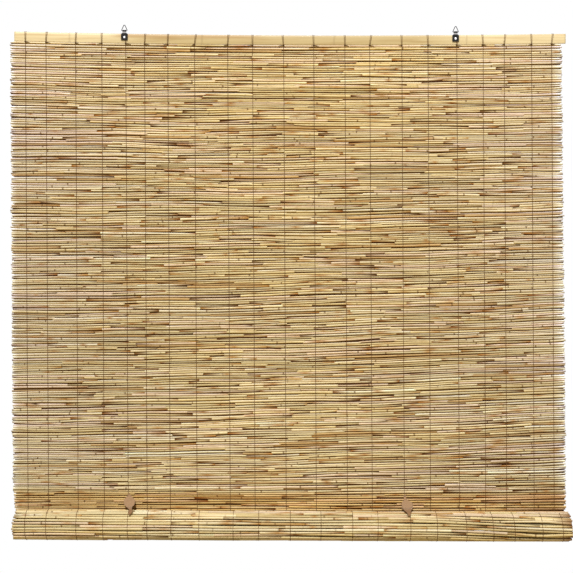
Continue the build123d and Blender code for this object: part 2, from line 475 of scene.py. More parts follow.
def travelled(path):
    """Length of each step of a path, and the way to each of its points."""
    steps = np.linalg.norm(np.diff(path, axis=0), axis=1)
    return steps, np.concatenate([[0], np.cumsum(steps)])


def hollow_end(ring, middle, inward):
    """Rings of a hollow end: its mouth, then the foot of the bore."""
    spokes = ring - middle
    return np.stack([middle + spokes * mouth_share, middle + spokes * bore_share + inward * hollow_depth])


def tube(gather, path, radii, tints, sides, across, hollow=(False, False), flat_share=1.0, side_tints=1.0):
    """Adds a tube along a path; radii and tints may be one for all. A hollow end has a mouth that goes in."""
    path = np.asarray(path, float)
    along, level, upright = path_frame(path, across)
    turn = np.arange(sides) * 2 * math.pi / sides
    spokes = flat_share * level[:, None, :] * np.cos(turn)[None, :, None]
    spokes = spokes + upright[:, None, :] * np.sin(turn)[None, :, None]
    rings = path[:, None, :] + np.broadcast_to(radii, len(path))[:, None, None] * spokes
    colours = np.broadcast_to(tints, path.shape)[:, None, :] * np.ones((sides, 1)) * side_tints
    # Hollow ends: pale pith at the mouth, painted shade at the foot of the bore
    end_colours = np.repeat(np.stack([pith_tone, bore_shade_tone])[:, None, :], sides, axis=1)
    if hollow[0]:
        rings = np.vstack([hollow_end(rings[0], path[0], along[0])[::-1], rings])
        colours = np.vstack([end_colours[::-1], colours])
    if hollow[1]:
        rings = np.vstack([rings, hollow_end(rings[-1], path[-1], -along[-1])])
        colours = np.vstack([colours, end_colours])
    gather.add(rings.reshape(-1, 3), colours.reshape(-1, 3), ring_faces(len(rings), sides))


# Materials
def set_inputs(tree, node, inputs):
    for name, value in inputs.items():
        if isinstance(value, bpy.types.NodeSocket):
            tree.links.new(value, node.inputs[name])
        else:
            node.inputs[name].default_value = value


def add_node(tree, kind, inputs, **settings):
    node = tree.nodes.new("ShaderNode" + kind)
    for name, value in settings.items():
        setattr(node, name, value)
    set_inputs(tree, node, inputs)
    return node


def new_material(name):
    material = bpy.data.materials.new(name)
    material.use_nodes = True
    tree = material.node_tree
    return material, tree, add_node(tree, "TexCoord", {}).outputs["Object"]


def tint_of(tree):
    return add_node(tree, "Attribute", {}, attribute_name="tint").outputs["Color"]


def grain(tree, place, scale, detail=3.0):
    """Noise stretched by a different scale along each axis."""
    stretched = add_node(tree, "Mapping", {"Vector": place, "Scale": scale}).outputs["Vector"]
    noise = add_node(tree, "TexNoise", {"Vector": stretched, "Scale": 1.0, "Detail": detail})
    return noise.outputs["Fac"]


def shades(tree, amount, low, high=white, low_share=0.3, high_share=0.7):
    """Colour that goes from low to high with an amount."""
    ramp = add_node(tree, "ValToRGB", {"Fac": amount})
    ramp.color_ramp.elements[0].position = low_share
    ramp.color_ramp.elements[1].position = high_share
    ramp.color_ramp.elements[0].color = (*low, 1)
    ramp.color_ramp.elements[1].color = (*high, 1)
    return ramp.outputs["Color"]


def multiplied(tree, first, second):
    mix = add_node(tree, "Mix", {"Factor": 1.0}, data_type="RGBA", blend_type="MULTIPLY")
    for socket, value in ((mix.inputs[6], first), (mix.inputs[7], second)):
        tree.links.new(value, socket)
    return mix.outputs[2]


def stretched_to(tree, amount, low, high, start=0.0, end=1.0):
    """Goes from low to high while the amount goes from start to end."""
    mapped = add_node(tree, "MapRange", {
        "Value": amount, "From Min": start, "From Max": end, "To Min": low, "To Max": high,
    })
    return mapped.outputs["Result"]


def combined(tree, operation, first, second):
    return add_node(tree, "Math", {0: first, 1: second}, operation=operation).outputs["Value"]


def bumped(tree, height, strength, distance):
    bump = add_node(tree, "Bump", {"Height": height, "Strength": strength, "Distance": distance})
    return bump.outputs["Normal"]


def coat(tree, colour, roughness, normal, gloss=0.5, metallic=0.0, sheen=0.0):
    set_inputs(tree, tree.nodes["Principled BSDF"], {
        "Base Color": colour, "Roughness": roughness, "Normal": normal, "Specular IOR Level": gloss,
        "Metallic": metallic, "Sheen Weight": sheen,
    })


def fibre_material(name, fibre_scale, blotch_scale, low_rough, high_rough, bump_strength, gloss):
    """Plant fibre: the piece's own tints with fine streaks and blotches along X."""
    material, tree, place = new_material(name)
    fibres = grain(tree, place, fibre_scale)
    blotches = grain(tree, place, blotch_scale, 2.0)
    streaked = multiplied(tree, tint_of(tree), shades(tree, fibres, (0.82, 0.78, 0.72)))
    stained = shades(tree, blotches, (0.84, 0.76, 0.66), white, 0.25, 0.5)
    rough = stretched_to(tree, fibres, low_rough, high_rough)
    bump = bumped(tree, fibres, bump_strength, fine_bump)
    coat(tree, multiplied(tree, streaked, stained), rough, bump, gloss)
    return material


def twine_material():
    material, tree, place = new_material("twine")
    fuzz = grain(tree, place, (900, 900, 900))
    colour = multiplied(tree, tint_of(tree), shades(tree, fuzz, (0.6, 0.55, 0.5)))
    coat(tree, colour, 0.85, bumped(tree, fuzz, 0.5, cloth_bump), 0.2)
    return material


def lacquer_material(neck_low, neck_high):
    """Black lacquer, with a painted grey highlight across the neck under the ring."""
    material, tree, place = new_material("black_lacquer")
    scuffs = grain(tree, place, (500, 500, 500), 5.0)
    height = add_node(tree, "SeparateXYZ", {"Vector": place}).outputs["Z"]
    above = stretched_to(tree, height, 0.0, 1.0, neck_low, neck_low + neck_low_fade)
    below = stretched_to(tree, height, 0.0, 1.0, neck_high, neck_high - neck_high_fade)
    # Painted highlight: a grey band across the neck, standing in for its reflection
    painted_neck_highlight = combined(tree, "MULTIPLY", above, below)
    black = shades(tree, scuffs, screen(5, 4, 3), screen(30, 27, 22), 0.35, 0.75)
    mix = add_node(tree, "Mix", {"Factor": painted_neck_highlight}, data_type="RGBA")
    tree.links.new(black, mix.inputs[6])
    mix.inputs[7].default_value = (*screen(170, 170, 176), 1)
    rough = stretched_to(tree, scuffs, 0.4, 0.6)
    coat(tree, mix.outputs[2], rough, bumped(tree, scuffs, 0.15, fine_bump), 0.2)
    return material


def steel_material(name, dull, bright, low_rough, high_rough):
    material, tree, place = new_material(name)
    scuffs = grain(tree, place, (700, 700, 700), 4.0)
    rough = stretched_to(tree, scuffs, low_rough, high_rough)
    colour = shades(tree, scuffs, dull, bright)
    coat(tree, colour, rough, bumped(tree, scuffs, 0.1, steel_bump), metallic=1.0)
    return material


def cloth_material():
    """Taupe tie cloth with a fine slanting weave."""
    material, tree, place = new_material("tie_cloth")
    threads = add_node(
        tree, "TexWave", {"Vector": place, "Scale": 420.0, "Distortion": 2.5, "Detail": 2.0},
        bands_direction="DIAGONAL",
    ).outputs["Fac"]
    specks = grain(tree, place, (700, 700, 700))
    weave = shades(tree, threads, (0.9, 0.89, 0.88), white, 0.1, 0.9)
    woven = multiplied(tree, tint_of(tree), weave)
    colour = multiplied(tree, woven, shades(tree, specks, (0.86, 0.84, 0.82)))
    coat(tree, colour, 0.9, bumped(tree, threads, 0.5, cloth_bump), 0.15, sheen=0.2)
    return material


def cane_material():
    material, tree, place = new_material("cane")
    fibres = grain(tree, place, (8, 900, 900))
    colour = shades(tree, fibres, screen(176, 136, 84), screen(222, 190, 132))
    coat(tree, colour, stretched_to(tree, fibres, 0.45, 0.6), bumped(tree, fibres, 0.3, fine_bump))
    return material


reed_material = fibre_material("reed", (14, 1400, 1400), (30, 260, 260), 0.5, 0.7, 0.35, 0.1)
bamboo_material = fibre_material("bamboo", (6, 900, 900), (9, 160, 160), 0.3, 0.5, 0.2, 0.5)


# Reeds
class Reed:
    """One reed of a row, thick and pale at its butt and thin and brown at its tip."""

    def __init__(self, start, end, thickness, tip_right):
        self.start = start
        self.end = end
        self.length = end - start
        self.tip_right = tip_right
        taper = draw.uniform(*taper_shares) * min(1, self.length / full_taper_length)
        self.butt_radius = thickness / 2 * draw.uniform(*butt_shares)
        self.tip_radius = self.butt_radius * (1 - taper)
        self.lift = draw.uniform(*reed_lifts)
        self.slant = draw.normal(0, slant_spread)
        self.drop = draw.normal(0, drop_spread)
        tone = straw_tones[draw.choice(len(straw_tones), p=straw_shares)]
        self.tone = tone * draw.uniform(*tone_shares)
        self.brown = brown_tones[draw.integers(len(brown_tones))]
        self.brown_length = draw.uniform(*brown_lengths)
        self.brown_strength = draw.choice(brown_strength_shares)
        self.node_share = draw.uniform(*node_place_shares)
        self.node_strength = draw.choice(node_strength_shares)
        self.patch_share = draw.uniform(*patch_place_shares)
        self.patch_reach = draw.uniform(*patch_reaches)
        self.patch_strength = draw.choice(patch_strength_shares, p=patch_chance_shares)
        self.patch_tone = patch_tones[draw.integers(len(patch_tones))]

    def share(self, x):
        """How far x lies from the butt to the tip."""
        share = (x - self.start) / self.length
        return np.clip(share if self.tip_right else 1 - share, 0, 1)

    def radius(self, x):
        return self.butt_radius + (self.tip_radius - self.butt_radius) * self.share(x) ** taper_power

    def offset(self, x):
        return self.slant * ((x - self.start) / self.length - 0.5) - self.drop

    def stations(self):
        """Places along X where the reed has a ring, with more of them at its tip and its node."""
        near_node = self.node_share + node_ring_places / self.length
        near_tip = 1 - tip_ring_shares * min(self.brown_length / self.length, longest_brown_share)
        near_patch = self.patch_share + patch_ring_shares * self.patch_reach / self.length
        places = np.concatenate([plain_ring_shares, near_node, near_patch, near_tip])
        places = np.unique(np.clip(places, 0, 1))
        if not self.tip_right:
            places = 1 - places[::-1]
        return self.start + self.length * places

    def at_node(self, x):
        return np.abs(self.share(x) - self.node_share) * self.length < node_half_width

    def tints(self, x):
        share = self.share(x)
        browned = ease((share - 1) * self.length / self.brown_length + 1) * self.brown_strength
        tints = self.tone + (self.brown - self.tone) * browned[:, None]
        patched = ease(1 - np.abs(share - self.patch_share) * self.length / self.patch_reach)
        tints = tints + (self.patch_tone - tints) * (patched * self.patch_strength)[:, None]
        at_node = self.at_node(x)
        tints[at_node] += (node_tone - tints[at_node]) * self.node_strength
        tints[share > tip_end_share] *= tip_end_tone
        # Painted highlight at the butt end
        tints[share < butt_highlight_share] *= butt_highlight_tone
        return np.minimum(tints, palest)

    def swollen_radius(self, x):
        """Radius with the swelling at the node."""
        return self.radius(x) * np.where(self.at_node(x), node_swelling, 1.0)


def reeds_between(left, right, thickness, right_chance):
    """The reeds of one row from end to end, each pushed a little into the next."""
    reeds = []
    start = left
    while start < right:
        end = start + draw.uniform(shortest_reed, longest_reed)
        if right - end < shortest_reed:
            end = right
        tip_right = draw.random() < right_chance
        first_reach = tip_reach * draw.random() if start == left and not tip_right else 0
        last_reach = tip_reach * draw.random() if end == right and tip_right else 0
        reed = Reed(start - first_reach, end + last_reach, thickness, tip_right)
        if first_reach or last_reach:
            reed.brown = edge_tone
            reed.brown_length *= edge_length_share
            reed.brown_strength *= edge_strength_share
            reed.tip_radius = max(reed.tip_radius, edge_tip_share * reed.butt_radius)
        reeds.append(reed)
        if end == right:
            break
        start = end - draw.uniform(*reed_overlaps)
    return reeds


def reed_at(reeds, x):
    return next((reed for reed in reeds if x <= reed.end), reeds[-1])


# Mat
def bow_rise(x):
    return slat_bow * (x / slat_high.x) ** 2


def wave(x, z):
    """Slow waviness of the rows, none at the slat and at the roll."""
    calm = ease((mat_top - z) / calm_top) * ease((z - roll_z - calm_foot) / calm_fade)
    total = 0
    for across, down, height, phase in waves:
        total = total + height * np.sin(2 * math.pi * (x / across + z / down) + phase)
    return total * calm


def skew(x, z):
    """Rise of the rows to the right, none at the slat and behind the roll."""
    grown = ease((mat_top - z) / mat_drop / skew_depth_share)
    grown = grown * np.clip((z - roll_z) / skew_fade, 0, 1)
    across = x / mat_half
    return grown * (skew_rise * across + skew_curl * across ** 2)


def drift(z):
    """Sideways lean of the hung mat."""
    return mat_drift * ((mat_top - z) / mat_drop - 0.5)


def set_back(z):
    """How far the mat swings back towards the roll's rear."""
    return lean_back * max(0, 1 - (z - roll_z) / lean_depth) ** 2


def above_roll(z):
    return z - roll_z - roll_radius


reed_turns = np.arange(reed_sides) * 2 * math.pi / reed_sides
upper_sides = ease(1.4 * np.sin(reed_turns) - 0.2)
under_sides = ease(-1.2 * np.sin(reed_turns) - 0.1)
front_sides = ease(0.6 - 0.8 * np.cos(reed_turns))
# Painted highlight on the upper sides and painted shade on the undersides of each reed
mat_sides_painted_light = toned(upper_sides, upper_highlight_tone) * toned(under_sides, underside_shade_tone)
roll_sides_painted_light = toned(upper_sides, roll_upper_highlight_tone) * toned(under_sides, roll_underside_shade_tone)


def painted_light_sides(z):
    """Tints round a reed: painted highlight on top, painted shade underneath, and painted warm shade on the
    front just above the roll, where the roll blocks light.
    """
    share = ease((warm_shade_depth - above_roll(z)) / warm_fade)
    return mat_sides_painted_light * toned(np.outer(share, front_sides), warm_shade_tone)


def mat_tone_by_place(x, z):
    """Factors of a mat that is palest at its top, yellower at its middle and foot, brown at one corner."""
    depth = (mat_top - z) / mat_drop
    edge = (x / mat_half) ** 2
    level = mat_level + top_gain * (1 - depth) ** 3
    level = level * (1 - left_loss * depth * ease(-x / mat_half))
    red = 1 - red_edge_loss * edge
    green = green_level - green_edge_loss * edge
    blue = blue_level + blue_edge_gain * edge * (1 - blue_foot_loss * depth)
    low = ease((corner_depth - above_roll(z)) / warm_fade)
    corner = toned(low * ease(x, *corner_span), corner_tone)
    return np.stack([level * red, level * green, level * blue], axis=1) * corner


class MatRow:
    def __init__(self, z, thickness, right_chance):
        self.z = z
        self.y = mat_y + set_back(z)
        self.thickness = thickness
        self.bow_share = ease(1 - (mat_top - z) / bow_fade_depth)
        middle = mat_shift + drift(z)
        foot = ease(1 - above_roll(z) / foot_depth)
        self.left = middle - mat_half + foot_inset * foot + draw.normal(0, ragged_reach)
        spread = mat_spread * (mat_top - z) / mat_drop
        self.right = middle + mat_half + spread + draw.normal(0, ragged_reach)
        self.reeds = reeds_between(self.left, self.right, thickness, right_chance)
        near_left = self.left + rim_shares * left_rim
        near_right = self.right - rim_shares * right_rim
        self.rim_places = np.concatenate([near_left, near_right])

    def rim(self, x):
        """Factors of the paler ends of a row."""
        near_left = ease(1 - (x - self.left) / left_rim)
        near_right = ease(1 - (self.right - x) / right_rim)
        return toned(left_rim_strength * near_left + near_right, rim_tone)

    def height(self, x):
        return self.z + bow_rise(x) * self.bow_share + wave(x, self.z) + skew(x, self.z)


def mat_rows():
    count = round(mat_drop / reed_pitch)
    heights = np.clip(draw.normal(1, row_spread_share, count), *row_height_shares)
    heights *= mat_drop / heights.sum()
    tops = mat_top - np.concatenate([[0], np.cumsum(heights)[:-1]])
    made = []
    for number, (top, height) in enumerate(zip(tops, heights)):
        made.append(MatRow(top - height / 2, height, tip_right_chances[number % 2]))
    for reed in made[0].reeds:
        reed.drop = first_row_drop
        reed.slant = 0
    return made


def hang_filler(gather, row, inset):
    """Ribbon behind the groove under a row, coloured dark as painted shade between the reeds."""
    x = np.linspace(row.reeds[0].start + inset, row.reeds[-1].end - inset, filler_steps)
    path = points_of(x, row.y + filler_back, row.height(x) - row.thickness / 2)
    tint = filler_shade_tone * draw.uniform(*filler_shade_shares)
    tube(gather, path, filler_radius, tint, filler_sides, across_y, flat_share=filler_flat_share)


def hang_reeds(hung_rows, name):
    gather = Gather()
    for place, row in enumerate(hung_rows):
        for number, reed in enumerate(row.reeds):
            inside = (row.rim_places > reed.start) & (row.rim_places < reed.end)
            x = np.union1d(reed.stations(), row.rim_places[inside])
            heights = row.height(x)
            path = points_of(x, row.y - reed.lift, heights + reed.offset(x))
            at_edge = (number == 0, number == len(row.reeds) - 1)
            tints = np.minimum(reed.tints(x) * mat_tone_by_place(x, heights) * row.rim(x), palest)
            radii = reed.swollen_radius(x)
            tube(gather, path, radii, tints, reed_sides, across_y, at_edge, side_tints=painted_light_sides(heights))
        scatter = place * scatter_share % (1 - filler_inset_share)
        hang_filler(gather, row, filler_inset * (filler_inset_share + scatter))
    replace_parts(gather.piece(name, reed_material, "blind", "reed"), "reed_mat")


rows = mat_rows()
row_thirds = [round(len(rows) * share / 3) for share in range(4)]
for first, last, name in zip(row_thirds, row_thirds[1:], ("reeds_upper", "reeds_middle", "reeds_lower")):
    hang_reeds(rows[first:last], name)


# Roll
class RollRow:
    def __init__(self, turn, thickness):
        self.turn = turn
        rounding = roll_rounding * abs(math.sin(2 * math.pi * turn)) ** 3
        topmost = ease(turn % 1, *top_turns)
        left = roll_shift - mat_half + roll_left_inset + roll_top_inset * topmost
        left = left + draw.normal(0, ragged_reach)
        right = roll_shift + mat_half - rounding + draw.normal(0, ragged_reach)
        right_chance = tip_right_chances[int(draw.random() < 0.5)]
        self.reeds = reeds_between(left, right, thickness, right_chance)
        self.phase = draw.uniform(0, 2 * math.pi)
        self.wander = draw.uniform(*wander_shares)
        self.lift = draw.uniform(*roll_lifts)
        if self.wander > brown_end_wander:
            self.brown_end(self.reeds[-1])

    def brown_end(self, reed):
        """Browns the right end of the last reed."""
        reed.patch_tone = roll_end_tone
        reed.patch_share = 1.0 if reed.tip_right else 0.0
        reed.patch_reach = roll_end_reach * self.wander
        reed.patch_strength = roll_end_strength

    def angle(self, x):
        """Angle round the roll, from its back and down under it."""
        settled = ease(self.turn / settle_turns)
        fanned = ease(x, *fan_span)
        sway = np.sin(2 * math.pi * x / sway_length + self.phase)
        sway = sway * (sway_share + fan_sway_share * fanned) * self.wander
        step = roll_pitch / roll_radius
        swayed = 0.5 * step * sway - roll_twist * fanned
        for place, turn, width, spread in partings:
            apart = self.turn - turn
            push = spread * np.sign(apart) * math.exp(-abs(apart) / parting_turns)
            swayed = swayed + push * np.exp(-((x - place) / width) ** 2)
        return 2 * math.pi * self.turn + settled * swayed

    def shade(self, x):
        """Painted shade on the second turn, hidden inside the roll: the share of light colour left, which
        stays pale only at its two ends.
        """
        hidden = ease((mat_half - abs(x - roll_shift)) / inner_turn_reach - 0.5)
        return 1 - (1 - inner_turn_shade_tone) * hidden * (1 < self.turn < whole_turns)

    def radius(self, lift):
        swung = lean_back * (1 - ease(self.turn / settle_turns))
        return roll_radius - turn_pitch * self.turn + swung + self.lift + lift

    def middle(self, x, lift):
        angle = self.angle(x)
        return roll_y + self.radius(lift) * np.cos(angle), roll_z - self.radius(lift) * np.sin(angle)


def roll_turns():
    """Places of the reeds along the spiral, counted in turns."""
    turns = []
    turn = 0.0
    while turn < turn_count:
        turns.append(turn)
        turn += roll_pitch / (2 * math.pi * (roll_radius - turn_pitch * turn))
    return turns


roll_rows = [RollRow(turn, roll_pitch * draw.uniform(*roll_reed_shares)) for turn in roll_turns()]


def roll_reeds():
    """The roll's reeds: whole on its outer turns, and stubs at both ends of its inner ones."""
    gather = Gather()
    for row in roll_rows:
        whole = row.turn < whole_turns
        last = len(row.reeds) - 1
        for number, reed in enumerate(row.reeds):
            x = reed.stations()
            if not whole:
                if number == 0:
                    x = reed.start + stub_length * stub_shares
                elif number == last:
                    x = reed.end - stub_length * stub_shares[::-1]
                else:
                    continue
            path = points_of(x, *row.middle(x, reed.lift))
            at_edge = (number == 0, number == last)
            # Painted shade: the rolled reeds are dimmed, the hidden second turn most
            tints = reed.tints(x) * roll_shade_tone * row.shade(x)[:, None]
            radii = reed.swollen_radius(x)
            tube(gather, path, radii, tints, reed_sides, across_y, at_edge, side_tints=roll_sides_painted_light)
    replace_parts(gather.piece("rolled_reeds", reed_material, "blind", "reed"), "reed_roll")


roll_reeds()


# Slat
def slat_section():
    """Rounded skin in front and hollow back, as (depth, height) points from the slat's middle."""
    half = slat_height / 2
    thickness = slat_depth - node_rise
    section = []
    for side, count in ((-1, front_points), (1, back_points)):
        for share in np.linspace(side, -side, count):
            eased = slat_edge / 2 * (abs(share) == 1)
            dip = slat_crown * share ** 2 if side < 0 else slat_hollow * (1 - share ** 2)
            section.append((side * (thickness / 2 - dip - eased), share * (half - eased)))
    return np.array(section)


def slat_tint(x, height_share):
    """Pale yellow bamboo with a browner strip along the top left of the middle, and faint node lines."""
    tint = slat_middle_tone + (slat_tone - slat_middle_tone) * ease(abs(x), *slat_middle_span)
    strip = ease(x, *strip_left_span) * ease(x, *strip_right_span) * ease(height_share, *strip_height_shares)
    tint = tint + (slat_strip_tone - tint) * strip_strength * strip
    for place in node_places:
        near = math.exp(-((x - place) / node_line) ** 2)
        tint = tint + (node_tone - tint) * node_line_strength * near
    return tint


def header_slat():
    section = slat_section()
    spread = np.linspace(slat_low.x, slat_high.x, slat_steps)
    near_nodes = [place + share * node_width for place in node_places for share in node_ring_shares]
    stations = np.sort(np.concatenate([spread, near_nodes]))
    middle_z = slat_low.z + slat_height / 2
    swell = node_width * node_swell_share
    points = []
    tints = []
    for x in stations:
        rise = sum(node_rise * math.exp(-((x - place) / swell) ** 2) for place in node_places)
        for depth, height in section:
            forward = rise if depth < 0 else 0
            points.append((x, mat_y + depth - forward, middle_z + height + bow_rise(x)))
            tints.append(slat_tint(x, height / slat_height * 2))
    gather = Gather()
    gather.add(points, tints, [face[::-1] for face in ring_faces(len(stations), len(section))])
    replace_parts(gather.piece("bamboo_slat", bamboo_material, "blind", "bamboo"), "header_slat")


header_slat()

# Twines
twine_shader = twine_material()


def strand(gather, path, radius, tone):
    tube(gather, path, radius, tone, strand_sides, across_x)


def plied(gather, path, tone):
    """Two plies twisted round a path that lies nearly in a plane across X."""
    path = np.asarray(path, float)
    travel = travelled(path)[1]
    count = max(8, round(travel[-1] / ply_pitch * ply_rings))
    along = np.linspace(0, travel[-1], count)
    base = np.stack([np.interp(along, travel, path[:, axis]) for axis in range(3)], axis=1)
    _, level, upright = path_frame(base, across_x)
    for ply in (0, math.pi):
        turn = 2 * math.pi * along / ply_pitch + ply
        aside = np.cos(turn)[:, None] * level + np.sin(turn)[:, None] * upright
        wound = base + strand_radius * ply_offset_share * aside
        strand(gather, wound, strand_radius * ply_radius_share, tone)


def mat_strand(x, side):
    """Route of one strand down the mat, over each reed and into each groove; side is -1 in front."""
    path = []
    for row in rows:
        here = x + twine_shift + drift(row.z)
        reed = reed_at(row.reeds, here)
        radius = reed.radius(here)
        middle_z = row.height(here) + reed.offset(here)
        crest = row.y - reed.lift + side * (radius + strand_radius * strand_sink_share)
        path.append((here, row.y + side * mat_groove, middle_z + row.thickness / 2))
        path.append((here, crest, middle_z + radius * crest_share))
        path.append((here, crest, middle_z - radius * crest_share))
    return path


def roll_strand(x):
    """Route of the back strand on round the roll."""
    path = []
    spread = roll_strand_spread * float(ease(x, *spread_span))
    slant = roll_strand_slant * float(ease(x, *slant_span))
    half_step = roll_pitch / (2 * roll_radius)
    for row in roll_rows:
        if not first_strand_turn < row.turn < last_strand_turn:
            continue
        entered = float(ease(row.turn / entry_turns))
        shift = roll_strand_shift + spread + slant * (0.5 - row.turn)
        here = x + twine_shift + mat_drift / 2 + shift * entered
        reed = reed_at(row.reeds, here)
        y, z = row.middle(here, reed.lift + float(reed.radius(here)) + strand_radius * strand_sink_share)
        turned = row.angle(here) - half_step
        groove = row.radius(roll_groove)
        path.append((here, roll_y + groove * math.cos(turned), roll_z - groove * math.sin(turned)))
        path.append((here, y, z))
    return path


def header_loop(x, lean):
    """Closed route of one strand round the slat, leaning a little to one side."""
    half_depth = slat_depth / 2 + strand_radius
    bottom = slat_low.z + bow_rise(x) - strand_radius
    top = slat_low.z + slat_height + bow_rise(x) + strand_radius
    middle = (bottom + top) / 2
    front_edge = -half_depth + slat_crown
    corners = (
        (front_edge, bottom + loop_edge), (-half_depth, middle - loop_flat),
        (-half_depth, middle + loop_flat), (front_edge, top - loop_edge),
        (front_edge + loop_corner, top), (half_depth - loop_corner, top),
        (half_depth, top - loop_corner), (half_depth, bottom + loop_corner),
        (half_depth - loop_corner, bottom), (front_edge + loop_corner, bottom),
    )
    path = [(x + lean * (z - bottom) / slat_height, mat_y + depth, z) for depth, z in corners]
    return path + path[:1]


def knot(gather, x):
    """Knot under the slat's front edge with one short tail."""
    bottom = slat_low.z + bow_rise(x)
    front = mat_y - slat_depth / 2 - strand_radius
    turns = np.linspace(0, 1, knot_steps)
    angles = turns * 2 * knot_coils * math.pi
    coil = points_of(
        x + (turns - 0.5) * knot_share * knot_reach,
        front + knot_sink + knot_radius * np.cos(angles),
        bottom - knot_drop + knot_radius * np.sin(angles),
    )
    strand(gather, coil, strand_radius * knot_share, knot_tone)
    side = 1 if draw.random() < tail_right_chance else -1
    length = draw.uniform(*tail_lengths)
    droop = draw.uniform(*tail_droops)
    spread = np.linspace(0, 1, tail_steps)
    tail = points_of(
        x + side * (tail_start + length * spread),
        front - tail_front + tail_lean * spread,
        bottom - tail_drop - droop * spread ** 2,
    )
    radii = strand_radius * (tail_share - tail_taper_share * spread)
    tube(gather, tail, radii, knot_tone, strand_sides, across_y)


def make_twine(name):
    low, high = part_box(name)
    x = (low.x + high.x) / 2
    header_x = x + twine_shift + drift(mat_top)
    gather = Gather()
    lean = draw.normal(0, loop_lean_spread)
    for aside in (-loop_aside, loop_aside):
        plied(gather, header_loop(header_x + aside, lean + aside * loop_lean_share), loop_tone)
    knot(gather, header_x)
    front_end = roll_z + roll_radius * front_end_share
    front = [point for point in mat_strand(x, -1) if point[2] > front_end]
    back = [point for point in mat_strand(x, 1) if point[2] > roll_z + back_end]
    knot_end = (header_x, mat_y - knot_end_front, slat_low.z + bow_rise(header_x) - knot_end_drop)
    strand(gather, [knot_end] + front[1:], strand_radius, strand_tone)
    strand(gather, back[1:] + roll_strand(x), strand_radius, strand_tone)
    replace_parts(gather.piece("stitching" + name[5:], twine_shader, "blind", "twine"), name)


for number in range(1, twine_count + 1):
    make_twine(f"twine_{number:02d}")


# Hangers
def arc(middle, radius, angles):
    """Points of an arc in a plane."""
    return [(middle[0] + radius * math.cos(angle), middle[1] + radius * math.sin(angle)) for angle in angles]


def fillet(previous, corner, following, radius, steps):
    """Points of the arc that rounds a corner in a plane."""
    towards = unit(previous - corner)
    away = unit(following - corner)
    half = math.acos(float(towards @ away)) / 2
    middle = corner + unit(towards + away) * radius / math.sin(half)
    start = corner + towards * radius / math.tan(half) - middle
    end = corner + away * radius / math.tan(half) - middle
    first = math.atan2(start[1], start[0])
    sweep = (math.atan2(end[1], end[0]) - first + math.pi) % (2 * math.pi) - math.pi
    return arc(middle, radius, [first + sweep * step / steps for step in range(steps + 1)])


def hanger_ring(side, material):
    node = "hanger_ring_" + side
    low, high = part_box(node)
    x = (low.x + high.x) / 2
    axis_z = low.z + wire_radius
    foot_left = np.array((-ring_half_base, 0.0))
    foot_right = np.array((ring_half_base, 0.0))
    apex = np.array((0.0, ring_height))
    butt = np.array((wire_gap, 0.0))
    bends = [butt]
    bends += fillet(foot_left, foot_right, apex, ring_corner_radius, corner_steps)
    bends += fillet(foot_right, apex, foot_left, ring_apex_radius, apex_steps)
    bends += fillet(apex, foot_left, foot_right, ring_corner_radius, corner_steps)
    bends.append(-butt)
    path = [(x + across, 0.0, axis_z + height) for across, height in bends]
    gather = Gather()
    tube(gather, path, wire_radius, white, metal_sides, across_y)
    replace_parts(gather.piece("wire_ring_" + side, material, "ring_" + side, "ring_wire"), node)


def hanger_plate(side, material):
    """The folded plate with its edges eased."""
    node = "hanger_plate_" + side
    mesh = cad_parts[node].data.copy()
    form = bmesh.new()
    form.from_mesh(mesh)
    bmesh.ops.remove_doubles(form, verts=form.verts, dist=plate_weld)
    bmesh.ops.dissolve_limit(form, angle_limit=math.radians(1), verts=form.verts, edges=form.edges)
    form.to_mesh(mesh)
    form.free()
    mesh.materials.clear()
    mesh.materials.append(material)
    piece = placed("strap_plate_" + side, mesh)
    bevel = piece.modifiers.new("eased", "BEVEL")
    bevel.width = plate_ease
    bevel.segments = 2
    bevel.limit_method = "ANGLE"
    bevel.angle_limit = math.radians(35)
    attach(piece, "blind")
    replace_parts(piece, node)


def screw_height(across, up):
    """Height of the domed screw head, with its cross recess."""
    reach = math.hypot(across, up)
    dome = head_height * math.sqrt(max(0, 1 - (reach / head_radius) ** 2 * dome_share))
    in_slot = abs(across) < recess_half and abs(up) < recess_reach
    in_other = abs(up) < recess_half and abs(across) < recess_reach
    return dome - recess_depth if in_slot or in_other else dome


def hanger_screw(side, material):
    node = "hanger_screw_" + side
    low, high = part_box(node)
    x = (low.x + high.x) / 2
    z = (low.z + high.z) / 2
    seat = low.y + head_height
    points = []
    for ring, share in enumerate([*np.linspace(0.02, 1, head_rings), 1]):
        for step in range(head_sides):
            angle = 2 * math.pi * step / head_sides
            across = share * head_radius * math.cos(angle)
            up = share * head_radius * math.sin(angle)
            height = screw_height(across, up) if ring < head_rings else 0
            points.append((x + across, seat - height, z + up))
    gather = Gather()
    gather.add(points, np.ones((len(points), 3)), ring_faces(head_rings + 1, head_sides))
    shank = [(x, seat, z), (x, high.y, z)]
    tube(gather, shank, shank_radius, white, metal_sides, across_x)
    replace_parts(gather.piece("round_screw_" + side, material, "blind", "screw_steel"), node)


def make_hangers():
    axis_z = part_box("hanger_ring_left")[0].z + wire_radius
    lacquer = lacquer_material(axis_z - neck_height - plate_shoulder * 0.4, axis_z - neck_top)
    wire = steel_material("ring_wire", (0.02, 0.02, 0.025), (0.06, 0.06, 0.065), 0.35, 0.5)
    bright = steel_material("screw_steel", (0.8, 0.8, 0.8), (0.95, 0.95, 0.95), 0.25, 0.4)
    for side in ("left", "right"):
        hanger_ring(side, wire)
        hanger_plate(side, lacquer)
        hanger_screw(side, bright)


make_hangers()


